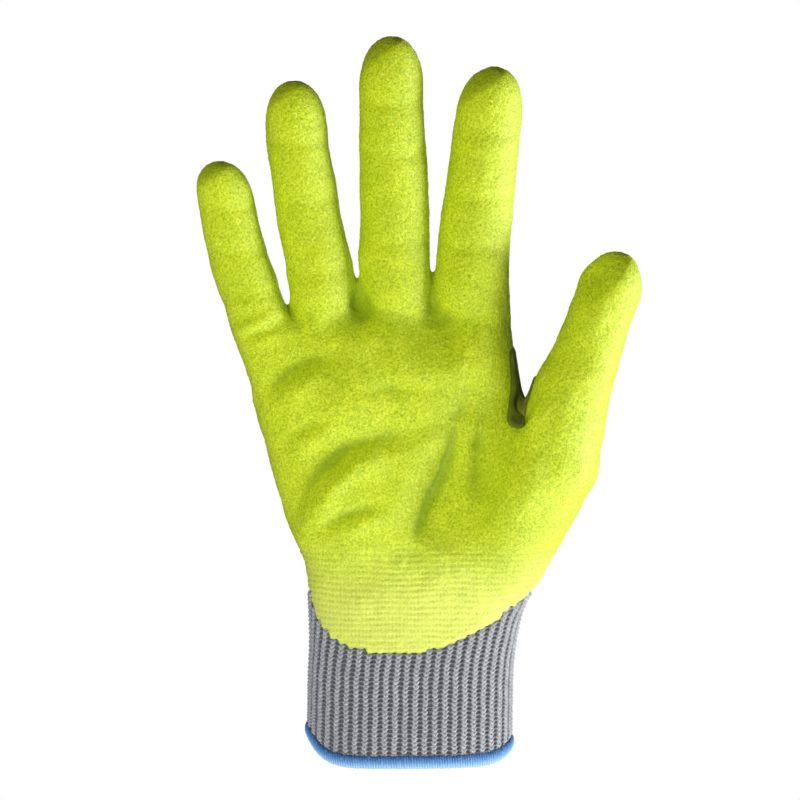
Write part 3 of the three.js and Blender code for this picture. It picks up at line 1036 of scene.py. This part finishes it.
def patch_material():
    """The crotch patch: smoother rubber, dark olive where it is thick and paler toward its thin edge; the
    dark olive is painted shade of the thumb's crotch.
    """
    n = Nodes("patch_rubber")
    cloud = n.noise(4.0, 3.0, 0.55)
    grain = n.noise(0.7, 2.0, 0.5)
    # Painted shade: the patch is drawn dark olive for the shade in the thumb's crotch.
    colour = n.ramp(cloud, (0.30, (0.075, 0.095, 0.007)), (0.70, (0.165, 0.190, 0.014)))
    # Paler toward the patch's thin edge, where its painted shade fades into the coating.
    worn = n.math("SUBTRACT", 1.0, n.attribute("rise"), clamp=True)
    colour = n.tint(colour, worn, 0.35, (0.26, 0.31, 0.02))
    rough = n.span(grain, 0.3, 0.7, 0.62, 0.48)
    return n.finish(colour, rough, grain, 0.12, 0.6, sheen=0.05, specular=0.4)


def yarn_flecks(n, size):
    """Melange yarn: pale steel-grey fibre with dark and white flecks."""
    return n.ramp(
        n.noise(size, 4.0, 0.75),
        (0.28, (0.085, 0.090, 0.104)),
        (0.44, (0.290, 0.300, 0.328)),
        (0.56, (0.440, 0.452, 0.478)),
        (0.72, (0.780, 0.792, 0.815)),
    )


def liner_material():
    """Plain jersey of fine wales, each stitch a small V."""
    n = Nodes("jersey_knit")
    wander = n.times(n.math("SUBTRACT", n.noise(6.0), 0.5), 0.25)
    place = n.plus(n.math("DIVIDE", n.attribute("wale"), WALE_WIDTH), wander)
    inside = n.from_middle(place)
    turn = n.plus(n.math("DIVIDE", n.rest_axes()[2], JERSEY_COURSE), n.times(inside, 1.5))
    strand = n.span(n.from_middle(turn), 0.10, 0.42)
    rib = n.span(inside, 0.50, 0.30)
    middle = n.span(inside, 0.0, 0.10, 0.55, 1.0)
    height = n.times(n.times(strand, rib), middle)
    yarn = n.mix(0.35, yarn_flecks(n, 0.55), (0.400, 0.412, 0.435))
    # Painted shade: the low parts between the stitches are drawn near black.
    colour = n.mix(n.span(height, 0.0, 0.65), STITCH_SHADE, yarn)
    rough = n.span(height, 0.0, 1.0, 0.95, 0.80)
    total = n.plus(height, n.times(n.noise(0.25, 2.0, 0.7), 0.25))
    return n.finish(colour, rough, total, 0.40, 0.9, sheen=0.15, specular=0.3)


def rib_material():
    """Rib knit: pale raised wales between sunken ones, drawn dark with painted shade."""
    n = Nodes("rib_knit")
    relief = n.attribute("relief")
    yarn = yarn_flecks(n, 0.50)
    bright = n.mix(0.20, yarn, (0.600, 0.614, 0.640))
    # Painted shade: the sunken wales and the low parts between the rungs are drawn near black.
    dark = n.mix(0.20, (0.020, 0.023, 0.031), yarn)
    blotch = n.noise(1.9, 3.0, 0.65)
    bright = n.mix(n.span(blotch, 0.62, 0.38, 0.0, 0.30), bright, (0.210, 0.218, 0.242))
    colour = n.mix(n.span(relief, 0.05, 0.80), dark, bright)
    rough = n.span(relief, 0.0, 1.0, 0.95, 0.82)
    return n.finish(colour, rough, n.noise(0.22, 3.0, 0.7), 0.16, 0.8, sheen=0.2, specular=0.3)


def hem_material():
    """Bulky overlock thread, with painted shade between its turns, paler round the rolled lower edge and
    darker toward its top.
    """
    n = Nodes("overlock_thread")
    fibre = n.noise(0.5, 3.0, 0.7, stretch=(1.6, 1.6, 0.35))
    # Colour by height on the roll: paler at its lower edge, darker toward its top.
    colour = n.ramp(
        n.attribute("lift"),
        (0.0, (0.560, 0.740, 0.920)),
        (0.30, (0.330, 0.560, 0.820)),
        (0.62, (0.110, 0.290, 0.600)),
        (1.0, (0.025, 0.100, 0.290)),
    )
    # Painted shade in the grooves between the thread's turns.
    between = n.span(n.attribute("relief"), 0.65, 0.0, 0.0, 0.75)
    colour = n.mix(between, colour, (0.012, 0.050, 0.150))
    colour = n.mix(n.span(fibre, 0.50, 0.75, 0.0, 0.35), colour, (0.55, 0.72, 0.90))
    return n.finish(colour, 0.82, n.noise(0.2, 2.0, 0.7), 0.12, 0.7, sheen=0.2, specular=0.3)


def elastic_material():
    """Covered elastic: dark rubber wound with fine thread."""
    n = Nodes("covered_elastic")
    fibre = n.noise(0.55, 2.0, 0.6)
    colour = n.ramp(fibre, (0.35, (0.020, 0.023, 0.030)), (0.65, (0.075, 0.085, 0.105)))
    return n.finish(colour, 0.7, fibre, 0.1, 0.6, specular=0.35)


# ---------------------------------------------------------------- coating, liner and patch

KNIT_GIRTH = 11 * MM            # length of knit for each radian round a finger
THUMB_JOIN_HALF = 3 * MM        # the thumb's tube is knitted on along a narrow strip
THIN_EDGE = 0.18                # share of the coating's thickness that is left at its edge
COURSE_STEP = 2.0 * MM
COURSE_DEPTH = 0.24 * MM
GRAIN_HEIGHT = 0.045 * MM
PATCH_THICKNESS = 0.75 * MM
PATCH_THIN_EDGE = 0.15          # share of the patch's thickness that is left at its edge
PATCH_LIFT = 0.1 * MM           # its base is this far above the coating, or above the coating's inside past
                                # the coating's edge
PATCH_SUNK = 0.04 * MM          # its underside is this far below its base
PATCH_LEAST_QUADS = 20


def wale_place(points):
    """Distance round the knit, so that its wales run up the palm, each finger and the thumb."""
    x, y, z = points.T
    side = np.tanh((x - node_centre("palm_liner")[0]) / (18 * MM))
    place = x - (y - PALM_HIGH[1] + 1.5 * MM) * side
    finger = nearest_finger(points)
    for index, name in enumerate(FINGERS):
        root = node_centre(f"{name}_root_fold")
        middle_x, middle_y = finger_line(name, z)
        around = np.arctan2(x - middle_x, y - middle_y)
        share = smoothstep(root[2] - 14 * MM, root[2] - 2 * MM, z) * (finger == index)
        place = place * (1 - share) + (root[0] + KNIT_GIRTH * around) * share
    middle_x, middle_y = thumb_line(z)
    around = np.arctan2(x - middle_x, y - middle_y) + math.pi / 2
    share = smoothstep(-THUMB_JOIN_HALF, THUMB_JOIN_HALF, past_web(points)) * in_thumb(points)
    return place * (1 - share) + (THUMB_LINE[0, 0] + KNIT_GIRTH * around) * share


def add_liner(points, quads, webs, material):
    """The knitted hand inside the coating, bare on the back."""
    layer = skin_layer(points, quads, -LINER_OUTER, -LINER_INNER)
    numbers = {"wale": wale_place(points) / MM}
    above_cuff = centroids(points, quads)[:, 2] > LINER_BOTTOM
    for zone, kept in zone_quads(points, quads, above_cuff, webs):
        piece = shell_piece(f"{zone}_knit", layer, kept, numbers, material)
        follow(piece, zone, webs)
        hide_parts(zone_nodes(zone, "liner"))


def course_lines(points):
    """How strongly the liner's courses show through the coating, in the strip above the cuff: how far they
    sink it, and how much painted shade lies along them.
    """
    low = smoothstep(WRIST_END + 10.4 * MM, WRIST_END + 9.4 * MM, points[:, 2])
    turn = points[:, 2] / COURSE_STEP + 0.35 * noise_at(points, 11 * MM)
    wave = 0.5 + 0.5 * np.cos(turn * 2 * np.pi)
    return np.clip(wave ** 3 * (1 + 0.8 * noise_at(points, 3.2 * MM)), 0, 1.3) * low


def add_coating(points, quads, hollow_shade, webs, ribs, material):
    """The dipped skin over the palm, the fronts of the fingers and the whole of their tips."""
    inside = coating_field(centroids(points, quads), ribs) > 0
    points = pull_to_edge(points, quads, inside, lambda place: coating_field(place, ribs))
    depth_in = coating_field(points, ribs)
    full = smoothstep(-0.2 * MM, EDGE_LENGTH, depth_in)
    thickness = COATING * (THIN_EDGE + (1 - THIN_EDGE) * full)
    line = course_lines(points)
    grain = np.random.default_rng(7).normal(0, 1, len(points))[:, None]
    grain = Averager(quads, len(points)).smooth(grain, 0.5, 2)[:, 0]
    grain /= grain.std()
    sunken = COATING - thickness + COURSE_DEPTH * line - GRAIN_HEIGHT * grain
    layer = skin_layer(points, quads, -sunken[:, None], -COATING)
    numbers = {
        "thin": 1 - smoothstep(0, EDGE_LENGTH, depth_in),
        "courses": line,
        # paler toward the wrist: partly a thinner dip, partly a painted highlight
        "pale": 1 - smoothstep(WRIST_END - 14 * MM, WRIST_END + 18 * MM, points[:, 2]),
        "hollow_shade": hollow_shade / MM,
    }
    for zone, kept in zone_quads(points, quads, inside, webs):
        piece = shell_piece(f"{zone}_dip", layer, kept, numbers, material)
        follow(piece, zone, webs)
        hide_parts(zone_nodes(zone, "coating"))


def add_patch(points, quads, webs, ribs, material):
    """The reinforcement over the thumb crotch, laid over the coating and the bare knit behind it."""
    inside = patch_field(centroids(points, quads)) > 0
    points = pull_to_edge(points, quads, inside, patch_field)
    on_coating = smoothstep(-0.3 * MM, EDGE_LENGTH, coating_field(points, ribs))
    base = PATCH_LIFT - COATING * (1 - on_coating)
    rise = smoothstep(-0.1 * MM, 1.6 * MM, patch_field(points))
    top = base + PATCH_THICKNESS * (PATCH_THIN_EDGE + (1 - PATCH_THIN_EDGE) * rise)
    layer = skin_layer(points, quads, top[:, None], (base - PATCH_SUNK)[:, None])
    for zone, kept in zone_quads(points, quads, inside, webs, PATCH_LEAST_QUADS):
        piece = shell_piece(f"{zone}_patch", layer, kept, {"rise": rise}, material)
        follow(piece, zone, webs)
        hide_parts("thumb_crotch_patch")


# ---------------------------------------------------------------- ribbed cuff

RIB_HEIGHT = 1.15 * MM
RIB_FLOOR = -0.75 * MM
RIB_UNDER_COATING = (-1.45 * MM, 0.42 * MM)     # floor and height of the ribs under the coating
RIB_WALL = 1.25 * MM
RIB_FLAT_IN_HEM = 0.85          # share of the relief that the hem presses flat
INNER_RELIEF = 0.6              # the tube's inside is shaded like knit of this relief
INNER_STEP = 12                 # rows of the outside for each row of the inside
RIB_GROOVE = 0.075              # width of the groove down a raised wale, as a share of the rib
WALE_HALF = (0.335, 0.035)      # half width of a raised wale and how much it swells, as shares of the rib
VEE_LEAN = 1.45                 # courses by which a V's arm climbs over the rib's width
RUNG_HEIGHT = 0.44


def rib_relief(columns, rows):
    """Height of the rib knit, 0 in the sunken wales to 1 on the raised ones, over the cuff's grid."""
    rng = np.random.default_rng(21)
    place = (np.arange(columns) / RIB_COLUMNS)[None, :] + 0 * rows[:, None]
    rib = np.floor(place).astype(int)
    phase = rng.uniform(-0.12, 0.12, RIB_COUNT)[rib]
    gain = rng.uniform(0.88, 1.08, RIB_COUNT)[rib]
    courses = rows[:, None] / COURSE + phase
    wander = 0.035 * np.sin(courses * 0.9 + rib * 1.7)
    across_rib = place - rib - 0.5 + wander
    # A raised wale is a column of Vs, with a groove down its middle.
    lean = courses - VEE_LEAN * np.abs(across_rib)
    half = WALE_HALF[0] + WALE_HALF[1] * np.cos(2 * np.pi * lean)
    ridge = np.clip(1 - (np.abs(across_rib) / half) ** 3.0, 0, 1)
    chevron = (0.5 + 0.5 * np.cos(2 * np.pi * lean)) ** 0.7
    groove = np.exp(-(across_rib / RIB_GROOVE) ** 2)
    stitch = ridge * (0.52 + 0.48 * chevron - 0.20 * groove)
    # A sunken wale is a ladder of short rungs.
    rung = (0.5 + 0.5 * np.cos(2 * np.pi * (courses + 0.45))) ** 2.4
    sunken = (1 - ridge) * RUNG_HEIGHT * rung
    course_gain = rng.uniform(0.93, 1.05, int(rows[-1] / COURSE) + 3)
    gain = gain * course_gain[np.clip(courses.astype(int), 0, len(course_gain) - 1)]
    return (stitch + sunken) * gain


def ring_piece(name, outer, inner, normals, relief, material):
    """A closed tube wall from a grid of outer points and a coarser grid of inner points."""
    rows, columns, _ = outer.shape
    inner_rows = len(inner)
    count = rows * columns
    bottom = ring_quads(count, 0, columns)
    top = ring_quads(count - columns, count + (inner_rows - 1) * columns, columns)
    inside = grid_quads(inner_rows, columns)[:, ::-1] + count
    points = np.vstack([outer.reshape(-1, 3), inner.reshape(-1, 3)])
    mesh = mesh_from(points, np.vstack([grid_quads(rows, columns), inside, bottom, top]), name)
    back = np.tile(-normals[0], (inner_rows, 1))
    mesh.normals_split_custom_set_from_vertices(np.vstack([normals.reshape(-1, 3), back]))
    padded = np.concatenate([relief.ravel(), np.full(inner_rows * columns, INNER_RELIEF)])
    return piece_object(name, mesh, points, {"relief": padded}, material)


def add_rib(ribs, material):
    """The cuff's knit, in two pieces that meet where the wrist begins to bend."""
    rows, base = ribs.rows, ribs.surface
    quads = grid_quads(len(rows), ribs.columns)
    base_normals = point_normals(base.reshape(-1, 3), quads).reshape(base.shape)
    relief = rib_relief(ribs.columns, rows)
    field = coating_field(base.reshape(-1, 3), ribs).reshape(relief.shape)
    near_top = smoothstep(RIB_TOP - 3.5 * MM, RIB_TOP - 0.5 * MM, rows)[:, None]
    covered = np.maximum(smoothstep(-0.9 * MM, 0.5 * MM, field), near_top)
    in_hem = smoothstep(HEM_TOP + 1.6 * MM, HEM_TOP - 0.3 * MM, rows)[:, None]
    floor = RIB_FLOOR * (1 - covered) + RIB_UNDER_COATING[0] * covered
    height = RIB_HEIGHT * (1 - covered) + RIB_UNDER_COATING[1] * covered
    offset = floor + height * relief * (1 - RIB_FLAT_IN_HEM * in_hem)
    outer = base + base_normals * offset[:, :, None]
    normals = point_normals(outer.reshape(-1, 3), quads).reshape(base.shape)
    split = int(round((WRIST_START - RIB_BOTTOM) / RIB_ROW))
    for zone, low, high in (("cuff", 0, split), ("wrist", split, len(rows) - 1)):
        rows_in = np.unique(np.append(np.arange(low, high, INNER_STEP), high))
        inner = base[rows_in] + base_normals[rows_in] * (floor - RIB_WALL)[rows_in][:, :, None]
        span = slice(low, high + 1)
        piece = ring_piece(f"{zone}_rib_knit", outer[span], inner, normals[span], relief[span], material)
        follow(piece, zone, {})
        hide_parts("cuff_rib" if zone == "cuff" else "wrist_liner_fold")


# ---------------------------------------------------------------- overlocked hem and elastics

# The hem's section as (outward from the skin, height) in millimetres, from the outer top round its
# lower edge and up the inside, and back down between the thread and the knit.
HEM_SECTION = (
    (-0.45, 4.80), (-0.10, 5.12), (0.30, 4.95), (0.60, 4.25), (0.72, 3.35), (0.72, 2.40), (0.55, 1.55),
    (0.18, 0.92), (-0.50, 0.62), (-1.20, 0.55), (-2.10, 0.60), (-2.80, 0.92), (-3.15, 1.50),
    (-3.22, 2.30), (-3.15, 3.20), (-2.90, 4.05), (-2.55, 4.50), (-2.25, 4.35), (-2.15, 3.45),
    (-2.12, 2.50), (-2.10, 1.55), (-1.20, 1.50), (-0.35, 1.55), (-0.26, 2.60), (-0.25, 3.80),
)
HEM_VISIBLE_ROWS = 17           # the section's points before it turns in between thread and knit
HEM_SWELL = 0.30 * MM
HEM_SWELL_MIDDLE = 0.6          # relief at which the thread neither swells nor sinks
HEM_INSIDE = 0.25               # share of the swell that is left between thread and knit
HEM_SLANT = 0.55                # turns by which a thread leans over the hem's height
HEM_SMOOTHING = 9               # columns on each side over which the hem's path is averaged


def hem_path(ribs):
    """The hem's middle line and its outward direction, in x and y."""
    path = even_loop(ribs.surface[0], HEM_THREADS * HEM_COLUMNS)[:, :2]
    window = 2 * HEM_SMOOTHING + 1
    around = np.vstack([path[-HEM_SMOOTHING:], path, path[:HEM_SMOOTHING]])
    path = np.column_stack([np.convolve(place, np.ones(window) / window, "valid") for place in around.T])
    ahead = np.roll(path, -1, axis=0) - np.roll(path, 1, axis=0)
    ahead /= np.linalg.norm(ahead, axis=1, keepdims=True)
    return path, np.column_stack([ahead[:, 1], -ahead[:, 0]])


def add_hem(ribs, material):
    """Overlock thread wound over the cuff's cut end, one ridge for each turn of the thread."""
    path, outward = hem_path(ribs)
    columns = len(path)
    rng = np.random.default_rng(5)
    top_jitter = rng.normal(0, 0.16, HEM_THREADS) * MM
    gauge = rng.uniform(0.75, 1.1, HEM_THREADS)
    section = np.array(HEM_SECTION) * MM
    thread = np.arange(columns) / HEM_COLUMNS
    points = np.empty((len(section), columns, 3))
    relief = np.empty((len(section), columns))
    for row, (out, height) in enumerate(section):
        slant = thread + HEM_SLANT * (height / HEM_TOP)
        number = np.floor(slant).astype(int) % HEM_THREADS
        relief[row] = np.abs(np.sin(np.pi * (slant % 1.0))) ** 0.7 * gauge[number]
        away = section[row] - section.mean(axis=0)
        away /= np.linalg.norm(away)
        on_outside = 1.0 if row < HEM_VISIBLE_ROWS else HEM_INSIDE
        swell = (relief[row] - HEM_SWELL_MIDDLE) * HEM_SWELL * on_outside
        top_share = smoothstep(3.6 * MM, 4.6 * MM, height) * on_outside
        upward = height + away[1] * swell + top_share * top_jitter[number]
        points[row, :, :2] = path + outward * (out + away[0] * swell)[:, None]
        points[row, :, 2] = upward + cuff_lift(path[:, 0], 0.0)
    points = points.reshape(-1, 3)
    lift = np.repeat(section[:, 1] / HEM_TOP, columns)
    seam = ring_quads((len(section) - 1) * columns, 0, columns)
    mesh = mesh_from(points, np.vstack([grid_quads(len(section), columns), seam]), "hem_thread_roll")
    obj = piece_object("hem_thread_roll", mesh, points, {"relief": relief, "lift": lift}, material)
    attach(obj, "cuff")
    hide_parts("hem_overlock")


def add_elastic(node, name, material):
    """The elastic inside the cuff, drawn up at the sides with the knit round it."""
    mesh = frame["nodes"][node].data.copy()
    points = mesh_points(mesh)
    points[:, 2] += cuff_lift(points[:, 0], points[:, 2])
    mesh.vertices.foreach_set("co", points.astype(np.float32).ravel())
    mesh.update()
    mesh.materials.clear()
    obj = piece_object(name, mesh, points, {}, material)
    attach(obj, "cuff")
    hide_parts(node)


# ---------------------------------------------------------------- camera, lights and floor

CAMERA_LENS = 150
CAMERA_SENSOR = 36
CAMERA_TARGET = Vector((-3.25 * MM, 0, 125.3 * MM))
CAMERA_DISTANCE = 1.143
CAMERA_ELEVATION = math.radians(4)
CAMERA_TURN = math.radians(-2.5)

# Name, place, what it points at, its side in metres, its power in watts, and whether it is mirrored.
LIGHTS = (
    ("side", (0.83, -0.12, 0.05), (0, 0, 0.12), 0.35, 9.2, True),
    ("low", (0.45, -0.40, -0.60), (0, 0, 0.12), 0.35, 4.0, True),
    ("front", (-0.38, -0.74, 0.07), (0, 0, 0.13), 0.35, 5.6, False),
    ("back", (0.10, 0.80, 0.30), (0, 0, 0.12), 0.6, 11.0, False),
)
WORLD_LIGHT = 0.03
FLOOR_LIGHT = 0.4
FLOOR_MIRRORED = 0.03
FLOOR_HALF = 3.0
FLOOR_DROP = 0.5 * MM


def point_at(obj, place, target):
    obj.location = place
    obj.rotation_mode = "QUATERNION"
    obj.rotation_quaternion = (Vector(target) - obj.location).to_track_quat("-Z", "Y")


def add_camera():
    data = bpy.data.cameras.new("camera")
    data.lens = CAMERA_LENS
    data.sensor_width = CAMERA_SENSOR
    camera = new_object("camera", data)
    bpy.context.scene.camera = camera
    level = math.cos(CAMERA_ELEVATION)
    away = Vector((level * math.sin(CAMERA_TURN), -level * math.cos(CAMERA_TURN), math.sin(CAMERA_ELEVATION)))
    point_at(camera, CAMERA_TARGET + CAMERA_DISTANCE * away, CAMERA_TARGET)


def add_light(name, place, target, size, power, glossy):
    data = bpy.data.lights.new(name, "AREA")
    data.energy = power
    data.size = size
    light = new_object(name, data)
    light.visible_glossy = glossy
    point_at(light, place, target)


def shader_mix(tree, share, first, second, output):
    """Mixes two shaders by a share into an output node."""
    mix = tree.nodes.new("ShaderNodeMixShader")
    for socket, value in zip(mix.inputs, (share, first.outputs[0], second.outputs[0])):
        tree.links.new(value, socket)
    tree.links.new(mix.outputs[0], tree.nodes[output].inputs["Surface"])


def add_world():
    """A white studio: pale to the camera, but dark as a light, so that the lamps model the form."""
    world = bpy.data.worlds.new("world")
    bpy.context.scene.world = world
    world.use_nodes = True
    tree = world.node_tree
    dim = tree.nodes["Background"]
    seen = tree.nodes.new("ShaderNodeBackground")
    for background, strength in ((dim, WORLD_LIGHT), (seen, 1.0)):
        background.inputs["Color"].default_value = (1, 1, 1, 1)
        background.inputs["Strength"].default_value = strength
    path = tree.nodes.new("ShaderNodeLightPath")
    shader_mix(tree, path.outputs["Is Camera Ray"], dim, seen, "World Output")
    bpy.context.scene.view_settings.view_transform = "Standard"


def add_floor():
    """A pale floor under the hem, bright enough to melt into the backdrop, and clear from below."""
    mesh = bpy.data.meshes.new("floor")
    corners = ((-1, -1), (1, -1), (1, 1), (-1, 1))
    mesh.from_pydata([(x * FLOOR_HALF, y * FLOOR_HALF, -FLOOR_DROP) for x, y in corners], [], [(0, 1, 2, 3)])
    material = bpy.data.materials.new("floor_paper")
    material.use_nodes = True
    tree = material.node_tree
    path = tree.nodes.new("ShaderNodeLightPath")
    unseen = tree.nodes.new("ShaderNodeMapRange")
    unseen.inputs["To Min"].default_value = FLOOR_LIGHT
    unseen.inputs["To Max"].default_value = FLOOR_MIRRORED
    tree.links.new(path.outputs["Is Glossy Ray"], unseen.inputs["Value"])
    strength = tree.nodes.new("ShaderNodeMapRange")
    strength.inputs["To Max"].default_value = 1.0
    tree.links.new(path.outputs["Is Camera Ray"], strength.inputs["Value"])
    tree.links.new(unseen.outputs[0], strength.inputs["To Min"])
    glow = tree.nodes.new("ShaderNodeEmission")
    tree.links.new(strength.outputs[0], glow.inputs["Strength"])
    clear = tree.nodes.new("ShaderNodeBsdfTransparent")
    side = tree.nodes.new("ShaderNodeNewGeometry")
    shader_mix(tree, side.outputs["Backfacing"], glow, clear, "Material Output")
    mesh.materials.append(material)
    floor = new_object("floor", mesh)
    floor.visible_shadow = False


# ---------------------------------------------------------------- the glove

HOLLOW_SMOOTHING = 60           # steps


def hollow_depth(points, quads):
    """How far each point lies below the smoothed skin; the coating paints shade in its hollows by this depth.
    """
    level = Averager(quads, len(points)).smooth(points, 0.5, HOLLOW_SMOOTHING)
    return np.sum((level - points) * point_normals(points, quads), axis=1)


def spread_to(values, quads, count):
    """Values known at the first points only, averaged over to the points added between them."""
    field = np.zeros((count, 2))
    field[:len(values), 0] = values
    field[:len(values), 1] = 1
    field = Averager(quads, count).smooth(field, 0.5, 3)
    return field[:, 0] / np.maximum(field[:, 1], 1e-6)


def build():
    points, quads = rough_skin()
    smooth = smoothed_skin(points, quads)
    webs = web_heights(smooth)
    plain = lower_webs(smooth)
    points = turned_tips(sculpt(plain, quads))
    ribs = RibLayout(BVHTree.FromPolygons(plain.tolist(), quads.tolist()))
    add_liner(points, quads, webs, liner_material())
    fine, fine_quads = subdivided(points, quads)
    hollow_shade = spread_to(hollow_depth(points, quads), fine_quads, len(fine))
    add_coating(fine, fine_quads, hollow_shade, webs, ribs, coating_material())
    add_patch(fine, fine_quads, webs, ribs, patch_material())
    add_rib(ribs, rib_material())
    add_hem(ribs, hem_material())
    elastic = elastic_material()
    add_elastic("hem_elastic", "hem_core_elastic", elastic)
    add_elastic("cuff_elastic_yarn", "cuff_inlaid_elastic", elastic)
    add_camera()
    add_world()
    add_floor()
    for light in LIGHTS:
        add_light(*light)


build()
